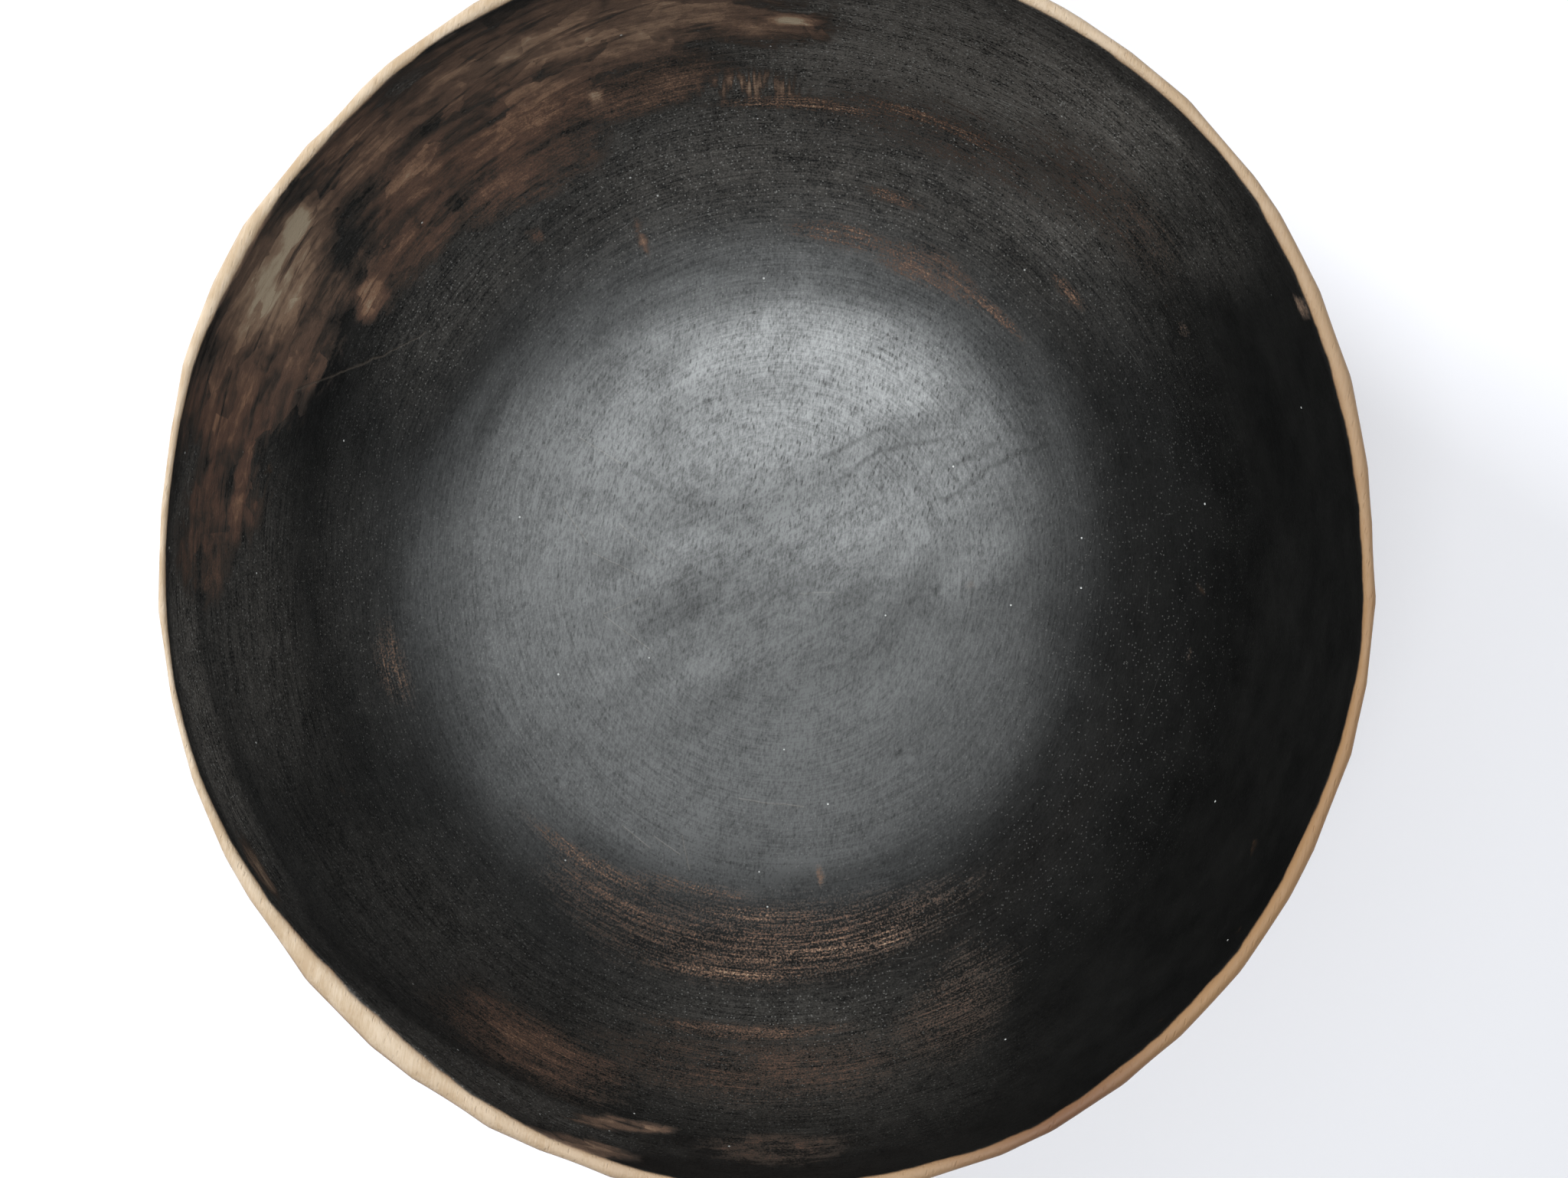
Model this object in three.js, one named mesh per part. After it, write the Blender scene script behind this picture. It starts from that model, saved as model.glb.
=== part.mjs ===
// A deep wooden bowl, hewn from one block: an oval shell on a flat foot, with the adze's flats in staggered
// courses outside, a knife-cut rim of uneven thickness, and a smooth scraped hollow.
// Millimetres. +Z is up, +Y runs along the grain, and the origin is the middle of the foot.
import * as THREE from "three";

const { lerp, smoothstep, degToRad } = THREE.MathUtils;

// Driving dimensions
const rimWidth = 320; // outside of the rim, across the grain
const rimLength = 335; // outside of the rim, along the grain, which shrinks less as the wood dries
const height = 148; // foot to the crown of the lip, at its mean level
const footWidth = 118; // flat that the bowl stands on, across the grain
const floorThickness = 15; // over the edge of the foot, from where the floor dips to its middle
const wallThickness = 9; // where the side has turned upright
const rimThickness = 4; // mean, just under the lip
const lipCrown = 2; // rise of the rounded lip
const dishDepth = 4; // dip that the scraper wore in the floor and the foot of the walls
const dishRadius = 100; // how far out the dip reaches

// Curve of the side, from the foot to the rim
const heelReach = 64; // how far the side runs out, nearly level, from the foot
const heelRise = 5; // how much it climbs on that way
const uprightDepth = 90; // how far below the rim the side turns upright
const wallShare = 0.62; // share of the way up the side where the wall has its own thickness

// Unevenness of hand work, which grows from none lower down to its full size at the rim
const unevenDepth = 70; // how far below the rim it starts
const rimWave = 1.2; // rise and fall of the lip
const waveCount = 3; // high places round the lip
const endSwell = 1.1; // how much the rim is thicker on the end grain, and thinner on the sides
const thickSpots = [
  // how much more the rim is than its mean thickness, at an angle and over a spread in degrees
  { angle: 17, more: 2.4, spread: 14 },
  { angle: 153, more: 1.8, spread: 7 },
  { angle: 184, more: -0.9, spread: 13 }, // pared thin
  { angle: 226, more: 4.2, spread: 11 }, // left thickest
  { angle: 315, more: 1.2, spread: 8 },
  { angle: 336, more: 1.5, spread: 10 },
];
const swellings = [
  // how much the outline stands out, likewise
  { angle: 3, more: -1, spread: 6 },
  { angle: 40, more: 0.9, spread: 10 },
  { angle: 138, more: -1.3, spread: 5 }, // hollow beside the full corner
  { angle: 148, more: 2, spread: 12 }, // full corner
  { angle: 160, more: 1.2, spread: 5 },
  { angle: 198, more: 0.8, spread: 10 },
  { angle: 246, more: -1.3, spread: 11 }, // flat stretch
  { angle: 296, more: 1.2, spread: 6 },
  { angle: 318, more: 1, spread: 10 }, // slight corner
];

// Flats of the adze
const flats = 48; // round the rim
const courses = 5; // one above the other, each half a flat further round than the last
const flatHollow = 0.6; // depth in the middle of a flat
const flatUnevenness = 1.2; // degrees by which the edges of a flat wander
const wanders = [7, 11]; // slow and quick wander of those edges, in waves round the rim
const plainHeel = 0.25; // share of the side, from the foot, over which the flats fade in

// Fineness of the solid
const segments = 2 * Math.round(flats); // an edge and a middle for each flat
const sideSteps = 15; // steps up the side, the same for its outside and its inside
const lipSteps = 5; // steps over the lip
const floorSteps = 4; // steps from the foot of the hollow's side to the middle of its floor

// Cross-section, as a half through the grain: x is the radius and y the height

const rimRadius = rimWidth / 2;
const footRadius = footWidth / 2;
const lipFoot = height - lipCrown; // level where the lip's round begins

const outside = new THREE.CubicBezierCurve(
  new THREE.Vector2(footRadius, 0),
  new THREE.Vector2(footRadius + heelReach, heelRise),
  new THREE.Vector2(rimRadius, lipFoot - uprightDepth),
  new THREE.Vector2(rimRadius, lipFoot),
);

// Thickness of the shell, by the share of the way up the side.
function thicknessAt(share) {
  const toWall = smoothstep(share, 0, wallShare);
  const toRim = smoothstep(share, wallShare, 1);
  return lerp(lerp(floorThickness, wallThickness, toWall), rimThickness, toRim);
}

// Point inside the shell that faces a point of the outside, square through the thickness.
function shellPoint(share) {
  const point = outside.getPointAt(share);
  const along = outside.getTangentAt(share);
  const thickness = thicknessAt(share);
  return new THREE.Vector2(
    point.x - along.y * thickness,
    point.y + along.x * thickness,
  );
}

// Point of the floor, at a share of the radius where the side begins: a bow that carries on the side's slope.
function floorPoint(outward) {
  const edge = shellPoint(0);
  const along = outside.getTangentAt(0);
  const bow = (edge.x * along.y) / along.x / 2;
  return new THREE.Vector2(
    edge.x * outward,
    edge.y - bow * (1 - outward * outward),
  );
}

// The same point after the scraper: lower by the dish, which falls away to nothing at its radius.
function dished(point) {
  const inside = Math.max(0, 1 - (point.x / dishRadius) ** 2);
  return new THREE.Vector2(point.x, point.y - dishDepth * inside * inside);
}

const lip = new THREE.EllipseCurve(
  rimRadius - rimThickness / 2,
  lipFoot,
  rimThickness / 2,
  lipCrown,
  0,
  Math.PI,
);

// The section runs from the middle of the foot, up the outside, over the lip and down to the floor's middle.
// Each point has its share of the way up the side, its place across the shell, which is 0 outside and 1
// inside, and the stretch along the grain that makes the bowl oval, alike on both faces so that the shell
// keeps its thickness.
function bowlSection() {
  const endStretch = (rimLength - rimWidth) / 2;
  const entry = (point, share, across) => ({
    point,
    share,
    across,
    stretch: (endStretch * outside.getPointAt(share).x) / rimRadius,
  });
  const section = [];
  for (let step = 0; step <= sideSteps; step++) {
    const share = step / sideSteps;
    section.push(entry(outside.getPointAt(share), share, 0));
  }
  for (let step = 1; step < lipSteps; step++) {
    const across = step / lipSteps;
    section.push(entry(lip.getPoint(across), 1, across));
  }
  for (let step = sideSteps; step >= 0; step--) {
    const share = step / sideSteps;
    section.push(entry(dished(shellPoint(share)), share, 1));
  }
  const floorStretch = section.at(-1).stretch;
  for (let step = floorSteps - 1; step >= 0; step--) {
    const outward = step / floorSteps;
    const point = dished(floorPoint(outward));
    section.push({ point, share: 0, across: 1, stretch: floorStretch * outward });
  }
  const footMiddle = new THREE.Vector2(0, 0);
  section.unshift({ point: footMiddle, share: 0, across: 0, stretch: 0 });
  return section;
}

// Hand work

// A smooth hump of height 1 at an angle, which falls off over a spread, both in degrees.
function hump(angle, centre, spread) {
  const width = degToRad(spread);
  return Math.exp((Math.cos(angle - degToRad(centre)) - 1) / (width * width));
}

// Sum of a list of humps at an angle.
function humpsAt(angle, list) {
  return list.reduce(
    (sum, place) => sum + place.more * hump(angle, place.angle, place.spread),
    0,
  );
}

// How much thicker the rim is than its mean.
function extraThicknessAt(angle) {
  return humpsAt(angle, thickSpots) - endSwell * Math.cos(2 * angle);
}

// Depth of the adze's flat at one step round the bowl: edges stand, and middles are hollow.
function flatDepthAt(step, share) {
  const course = Math.min(courses - 1, Math.floor(share * courses));
  const isMiddle = (step + course) % 2 === 1;
  return isMiddle ? flatHollow * smoothstep(share, 0, plainHeel) : 0;
}

// Turns the section round the upright axis, then carves it: oval, uneven at the rim, flats outside.
function carvedBowl() {
  const section = bowlSection();
  const geometry = new THREE.LatheGeometry(
    section.map((entry) => entry.point),
    segments,
  );
  const position = geometry.getAttribute("position");
  for (let step = 0; step <= segments; step++) {
    const evenAngle = ((step % segments) / segments) * 2 * Math.PI;
    const wander = wanders.reduce(
      (sum, waves) => sum + Math.sin(waves * evenAngle + waves),
      0,
    );
    const outline = humpsAt(evenAngle, swellings);
    const extra = extraThicknessAt(evenAngle);
    const wave = rimWave * Math.cos(waveCount * evenAngle);
    section.forEach(({ point, share, across, stretch }, row) => {
      const uneven = smoothstep(point.y, height - unevenDepth, height);
      const flat = flatDepthAt(step, share) * (1 - across);
      const angle =
        evenAngle + degToRad(flatUnevenness / 2) * wander * (1 - across);
      const radius =
        point.x + uneven * (outline - extra * across) - Math.min(flat, point.x);
      position.setXYZ(
        step * section.length + row,
        radius * Math.cos(angle),
        (radius + stretch) * Math.sin(angle),
        point.y + uneven * wave,
      );
    });
  }
  return geometry;
}

const blackenedWood = new THREE.MeshStandardMaterial({
  color: 0x2e2a27,
  roughness: 0.5,
  metalness: 0,
});

const bowl = new THREE.Mesh(carvedBowl(), blackenedWood);
bowl.name = "bowl";

const woodenBowl = new THREE.Group();
woodenBowl.add(bowl);

export default woodenBowl;
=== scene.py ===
import bpy
import numpy as np
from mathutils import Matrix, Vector


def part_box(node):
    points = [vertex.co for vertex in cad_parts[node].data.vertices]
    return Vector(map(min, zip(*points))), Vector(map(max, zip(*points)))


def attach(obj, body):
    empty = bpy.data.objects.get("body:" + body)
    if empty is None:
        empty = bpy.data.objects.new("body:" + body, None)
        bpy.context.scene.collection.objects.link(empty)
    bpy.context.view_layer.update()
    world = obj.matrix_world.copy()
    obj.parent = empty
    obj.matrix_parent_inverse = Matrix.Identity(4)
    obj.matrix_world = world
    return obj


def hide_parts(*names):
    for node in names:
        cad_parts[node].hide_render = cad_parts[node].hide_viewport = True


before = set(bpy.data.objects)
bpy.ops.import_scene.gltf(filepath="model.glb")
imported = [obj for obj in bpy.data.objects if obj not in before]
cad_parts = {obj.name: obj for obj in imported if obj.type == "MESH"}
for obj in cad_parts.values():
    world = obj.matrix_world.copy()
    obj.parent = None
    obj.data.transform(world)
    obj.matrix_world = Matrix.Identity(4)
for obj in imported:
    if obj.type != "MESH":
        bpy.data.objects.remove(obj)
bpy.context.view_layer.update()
bowlLow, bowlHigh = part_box("bowl")
scene = bpy.context.scene
scene.view_settings.view_transform = "Standard"
mm = 0.001  # sizes below are in millimetres, Blender's are in metres
print("frame loaded, CAD box", [round(v / mm, 1) for v in bowlHigh - bowlLow], "mm")


# Camera, straight above the mouth, with the top of the picture towards +Y

shot = {
    "width": 2048,  # picture, in pixels
    "height": 1538,
    "lens": 52.0,
    "sensor": 36.0,  # across the picture's width
    "place": (4.1, -6.5, 740.0),  # from the middle of the foot
    "clip": (10.0, 20000.0),  # nearest and furthest that it sees
}


def makeCamera():
    data = bpy.data.cameras.new("shotCamera")
    data.lens = shot["lens"]
    data.sensor_width = shot["sensor"]
    data.clip_start, data.clip_end = (v * mm for v in shot["clip"])
    camera = bpy.data.objects.new("shotCamera", data)
    camera.location = [v * mm for v in shot["place"]]
    scene.collection.objects.link(camera)
    scene.camera = camera


# Where points of the bowl fall in the picture, in pixels from its top left corner:
# offsets from the camera, times the focal length in pixels, over the distance below the camera.
def pictureOf(x, y, z):
    focal = shot["lens"] / shot["sensor"] * shot["width"]
    camX, camY, camZ = shot["place"]
    across = shot["width"] / 2 + focal * (x - camX) / (camZ - z)
    down = shot["height"] / 2 - focal * (y - camY) / (camZ - z)
    return across, down


makeCamera()
print("camera placed")


# The bowl's form

bowl = {
    "rimWidth": 320.0,  # outside, across the grain
    "rimLength": 335.0,  # outside, along the grain
    "height": 148.0,  # to the crown of the lip
    "footWidth": 118.0,
    "floorThickness": 15.0,
    "wallThickness": 9.0,
    "rimThickness": 4.0,
    "lipCrown": 2.0,
    "heelReach": 64.0,
    "heelRise": 5.0,
    "uprightDepth": 90.0,
    "wallShare": 0.62,
    "dishDepth": 4.0,  # dip of the floor and the foot of the walls, below the run of the shell
    "dishRadius": 100.0,
    "unevenDepth": 70.0,  # how far below the rim the hand's unevenness starts
    "rimWave": 1.2,
    "waveCount": 3,
    "endSwell": 1.1,
    # angle in degrees, how much more, spread in degrees: of the rim's thickness, then of its outline
    "thickSpots": [
        (226, 4.2, 11), (17, 2.4, 14), (336, 1.5, 10), (315, 1.2, 8), (153, 1.8, 7), (184, -0.9, 13),
    ],
    "swellings": [
        (3, -1.0, 6), (40, 0.9, 10), (138, -1.3, 5), (148, 2.0, 12), (160, 1.2, 5),
        (198, 0.8, 10), (246, -1.3, 11), (296, 1.2, 6), (318, 1.0, 10),
    ],
    "curveSteps": 2001,  # points from which the side is measured
    "columns": 500,  # steps round the bowl
    "footRows": 5,
    "outsideRows": 48,
    "lipRows": 10,
    "insideRows": 92,
    "floorRows": 24,
}


def smoothStep(low, high, value):
    t = np.clip((value - low) / (high - low), 0, 1)
    return t * t * (3 - 2 * t)


# A hump of height 1 at an angle in degrees, falling off over a spread.
def hump(angle, centre, spread):
    width = np.radians(spread)
    return np.exp((np.cos(angle - np.radians(centre)) - 1) / width**2)


# Side of the bowl from the edge of the foot to just under the lip: a cubic curve, taken at even
# shares of its length. Gives radius, height and the unit direction of the curve.
def sideCurve(share):
    footRadius = bowl["footWidth"] / 2
    rimRadius = bowl["rimWidth"] / 2
    lipFoot = bowl["height"] - bowl["lipCrown"]
    corners = np.array([
        (footRadius, 0),
        (footRadius + bowl["heelReach"], bowl["heelRise"]),
        (rimRadius, lipFoot - bowl["uprightDepth"]),
        (rimRadius, lipFoot),
    ])
    grid = np.linspace(0, 1, bowl["curveSteps"])
    t = grid[:, None]
    weights = ((1 - t) ** 3, 3 * (1 - t) ** 2 * t, 3 * (1 - t) * t**2, t**3)
    curve = sum(w * c for w, c in zip(weights, corners))
    walked = np.append(0, np.cumsum(np.hypot(*np.diff(curve, axis=0).T)))
    even = np.linspace(0, walked[-1], bowl["curveSteps"])
    fine = np.stack([np.interp(even, walked, column) for column in curve.T], 1)
    step = np.gradient(fine, axis=0)
    step /= np.hypot(*step.T)[:, None]
    return [np.interp(share, grid, column) for column in (*fine.T, *step.T)]


# Thickness of the shell: floor to wall over the lower part of the side, then wall to rim.
def shellThickness(share):
    toWall = smoothStep(0, bowl["wallShare"], share)
    toRim = smoothStep(bowl["wallShare"], 1, share)
    low = bowl["floorThickness"] + (bowl["wallThickness"] - bowl["floorThickness"]) * toWall
    return low + (bowl["rimThickness"] - low) * toRim


# The section, from the middle of the foot up the outside, over the lip and down to the middle of the floor.
# Each row has its radius, height, place across the shell (0 outside, 1 inside), share of the side, and the
# outside's radius there, which the stretch along the grain goes by.
def bowlSection():
    lipFoot = bowl["height"] - bowl["lipCrown"]
    rimRadius = bowl["rimWidth"] / 2
    foot = np.linspace(0, 1, bowl["footRows"], endpoint=False)[1:]
    up = np.linspace(0, 1, bowl["outsideRows"])
    over = np.linspace(0, 1, bowl["lipRows"] + 2)[1:-1]
    down = np.linspace(1, 0, bowl["insideRows"])
    inward = np.linspace(1, 0, bowl["floorRows"], endpoint=False)[1:]

    outR, outZ, _, _ = sideCurve(up)
    lipR = rimRadius - bowl["rimThickness"] / 2 * (1 - np.cos(np.pi * over))
    lipZ = lipFoot + bowl["lipCrown"] * np.sin(np.pi * over)
    r, z, stepR, stepZ = sideCurve(down)
    thick = shellThickness(down)
    inR, inZ = r - stepZ * thick, z + stepR * thick
    floorDip = inR[-1] * stepZ[-1] / stepR[-1] / 2  # meets the side without a crease
    rows = {
        "radius": [foot * outR[0], outR, lipR, inR, inward * inR[-1]],
        "height": [foot * 0, outZ, lipZ, inZ, inZ[-1] - floorDip * (1 - inward**2)],
        "across": [foot * 0, up * 0, over, down * 0 + 1, inward * 0 + 1],
        "share": [foot * 0, up, over * 0 + 1, down, inward * 0],
        "oval": [foot * outR[0], outR, over * 0 + rimRadius, r, inward * r[-1]],
    }
    section = {name: np.concatenate(parts) for name, parts in rows.items()}
    inside = section["across"] == 1
    dish = np.clip(1 - (section["radius"] / bowl["dishRadius"]) ** 2, 0, 1) ** 2
    section["height"] = section["height"] - inside * bowl["dishDepth"] * dish
    return section


# Relief left by a tool: each cut is a long shallow scoop, deepest in its middle, and where cuts meet the
# deeper one wins, which leaves ridges between them, softened by rubbing: the logarithm of a sum of
# exponentials. offsets gives how far each point lies from a cut's middle, along the cut's two directions
# before its turn, which is in radians.
def scoops(offsets, cuts, sharpness):
    total = 1
    for middle, halfLength, halfWidth, depth, turn in cuts:
        u, v = offsets(middle)
        a = (u * np.cos(turn) + v * np.sin(turn)) / halfLength
        b = (v * np.cos(turn) - u * np.sin(turn)) / halfWidth
        total = total + np.exp(sharpness * depth * (1 - a**2 - b**2))
    return np.log(total) / sharpness


adze = {
    "seed": 4,
    "width": 20.0,  # of one flat, round the bowl
    "courseRise": 24.0,  # between courses, up the side
    "depth": 0.85,
    "wander": 0.3,  # of its width or rise, by which a cut strays
    "halfWidth": 0.76,  # of a cut, as a share of the flat's width
    "halfRise": 0.82,  # likewise, of the course's rise
    "sizeStray": 0.4,  # how far the stray changes those shares
    "turnStray": 0.25,  # and turns the cut, in radians
    "fadeIn": 0.12,  # share of the side, from the foot, over which the cuts begin
    "sharpness": 26.0,  # of the ridges
}

scraper = {
    "seed": 9,
    "wallCuts": 330,
    "wallLength": (18.0, 40.0),  # half of a cut's length round the hollow, least and most
    "wallWidth": (5.0, 11.0),
    "wallTurn": 0.25,  # radians either way
    "wallFrom": (70.0, 100.0),  # radius over which the wall's cuts take over from the floor's
    "lipFade": 6.0,  # way down from the lip over which they begin
    "floorCuts": 50,
    "floorReach": 100.0,  # from the middle of the floor
    "floorLength": (16.0, 36.0),
    "floorWidth": (8.0, 16.0),
    "floorTurn": (0.1, 1.0),  # rising to the right
    "depth": (0.08, 0.34),
    "floorDepth": (0.15, 0.55),
    "sharpness": 9.0,
}


# Cuts of the adze over the outside: courses up the side, each with as many flats as fit round it.
def adzeCuts(sideLength):
    random = np.random.default_rng(adze["seed"])
    cuts = []
    for along in np.arange(0, sideLength + adze["courseRise"], adze["courseRise"]):
        radius = sideCurve(np.clip(along / sideLength, 0, 1))[0]
        count = int(round(2 * np.pi * radius / adze["width"]))
        start = random.uniform(0, 2 * np.pi)
        for k in range(count):
            stray = random.uniform(-1, 1, 5) * adze["wander"]
            cuts.append((
                (start + (k + stray[0]) * 2 * np.pi / count, along + stray[1] * adze["courseRise"]),
                adze["width"] * (adze["halfWidth"] + adze["sizeStray"] * stray[2]),
                adze["courseRise"] * (adze["halfRise"] + adze["sizeStray"] * stray[3]),
                adze["depth"] * (1 + stray[4]),
                adze["turnStray"] * stray[0],
            ))
    return cuts


# Cuts of the scraper: on the wall by angle and way down from the lip, on the floor by x and y.
def scraperCuts(wallDepth):
    random = np.random.default_rng(scraper["seed"])
    draw = lambda span, count: random.uniform(*span, count)
    walls, floors = scraper["wallCuts"], scraper["floorCuts"]
    turn, reach = scraper["wallTurn"], scraper["floorReach"]
    wall = zip(
        zip(draw((0, 2 * np.pi), walls), draw((0, wallDepth), walls)),
        draw(scraper["wallLength"], walls), draw(scraper["wallWidth"], walls),
        draw(scraper["depth"], walls), draw((-turn, turn), walls),
    )
    floor = zip(
        zip(draw((-reach, reach), floors), draw((-reach, reach), floors)),
        draw(scraper["floorLength"], floors), draw(scraper["floorWidth"], floors),
        draw(scraper["floorDepth"], floors), draw(scraper["floorTurn"], floors),
    )
    return list(wall), list(floor)


# Turns the section into the carved bowl, as whole arrays of rows by columns.
def carveBowl():
    section = bowlSection()
    angle = np.linspace(0, 2 * np.pi, bowl["columns"], endpoint=False)[None, :]
    radius, height, across, share, oval = (
        section[name][:, None] for name in ("radius", "height", "across", "share", "oval")
    )
    stepR = np.gradient(section["radius"])
    stepZ = np.gradient(section["height"])
    length = np.hypot(stepR, stepZ)
    outR, outZ = (stepZ / length)[:, None], (-stepR / length)[:, None]  # out of the wood
    walked = np.cumsum(length)
    lipRow = int(np.argmax(section["height"]))
    fromLip = np.abs(walked - walked[lipRow])[:, None]
    footRow = bowl["footRows"] - 1
    sideLength = walked[footRow + bowl["outsideRows"] - 1] - walked[footRow]

    uneven = smoothStep(bowl["height"] - bowl["unevenDepth"], bowl["height"], height)
    outline = sum(more * hump(angle, at, spread) for at, more, spread in bowl["swellings"])
    extra = sum(more * hump(angle, at, spread) for at, more, spread in bowl["thickSpots"])
    extra = extra - bowl["endSwell"] * np.cos(2 * angle)
    wave = bowl["rimWave"] * np.cos(bowl["waveCount"] * angle)

    wayRound = lambda at: ((angle - at + np.pi) % (2 * np.pi) - np.pi) * np.maximum(radius, 1)
    onSide = lambda at: (wayRound(at[0]), share * sideLength - at[1])
    hewn = scoops(onSide, adzeCuts(sideLength), adze["sharpness"])
    hewn = hewn * (1 - across) * (radius > bowl["footWidth"] / 2) * smoothStep(0, adze["fadeIn"], share)
    wallCuts, floorCuts = scraperCuts(walked[-1] - walked[lipRow])
    onWall = scoops(lambda at: (wayRound(at[0]), fromLip - at[1]), wallCuts, scraper["sharpness"])
    plan = radius * np.cos(angle), radius * np.sin(angle)
    onFloor = scoops(lambda at: (plan[0] - at[0], plan[1] - at[1]), floorCuts, scraper["sharpness"])
    toWall = smoothStep(*scraper["wallFrom"], radius)
    scraped = (onWall * toWall + onFloor * (1 - toWall)) * (across == 1)
    scraped = scraped * smoothStep(0, scraper["lipFade"], fromLip)

    relief = -hewn - scraped
    ring = radius + uneven * (outline - extra * across) + relief * outR
    stretch = (bowl["rimLength"] - bowl["rimWidth"]) / bowl["rimWidth"] * oval
    x = ring * np.cos(angle)
    y = (ring + stretch) * np.sin(angle)
    z = height + uneven * wave + relief * outZ
    across, fromLip = across + 0 * angle, fromLip + 0 * angle
    return {"x": x, "y": y, "z": z, "across": across, "fromLip": fromLip, "hewn": hewn / adze["depth"]}


# Mesh of rows by columns, closed round the bowl, with one point at the foot's middle and one at the
# floor's.
def bowlMesh(form, footMiddle, floorMiddle):
    rows, columns = form["x"].shape
    points = np.stack([form["x"], form["y"], form["z"]], -1).reshape(-1, 3)
    points = np.concatenate([points, [footMiddle, floorMiddle]]) * mm
    index = np.arange(rows * columns).reshape(rows, columns)
    onward = np.roll(index, -1, axis=1)
    quads = np.stack([index[:-1], onward[:-1], onward[1:], index[1:]], -1).reshape(-1, 4)
    footFan = np.stack([0 * index[0] + rows * columns, onward[0], index[0]], -1)
    floorFan = np.stack([0 * index[-1] + rows * columns + 1, index[-1], onward[-1]], -1)
    mesh = bpy.data.meshes.new("bowlWood")
    mesh.from_pydata(points.tolist(), [], quads.tolist() + footFan.tolist() + floorFan.tolist())
    mesh.polygons.foreach_set("use_smooth", np.ones(len(mesh.polygons), bool))
    mesh.update()
    return mesh


def addAttribute(mesh, name, values, poles):
    data = mesh.attributes.new(name, "FLOAT", "POINT").data
    data.foreach_set("value", np.append(values.ravel(), poles).astype(np.float32))


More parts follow.
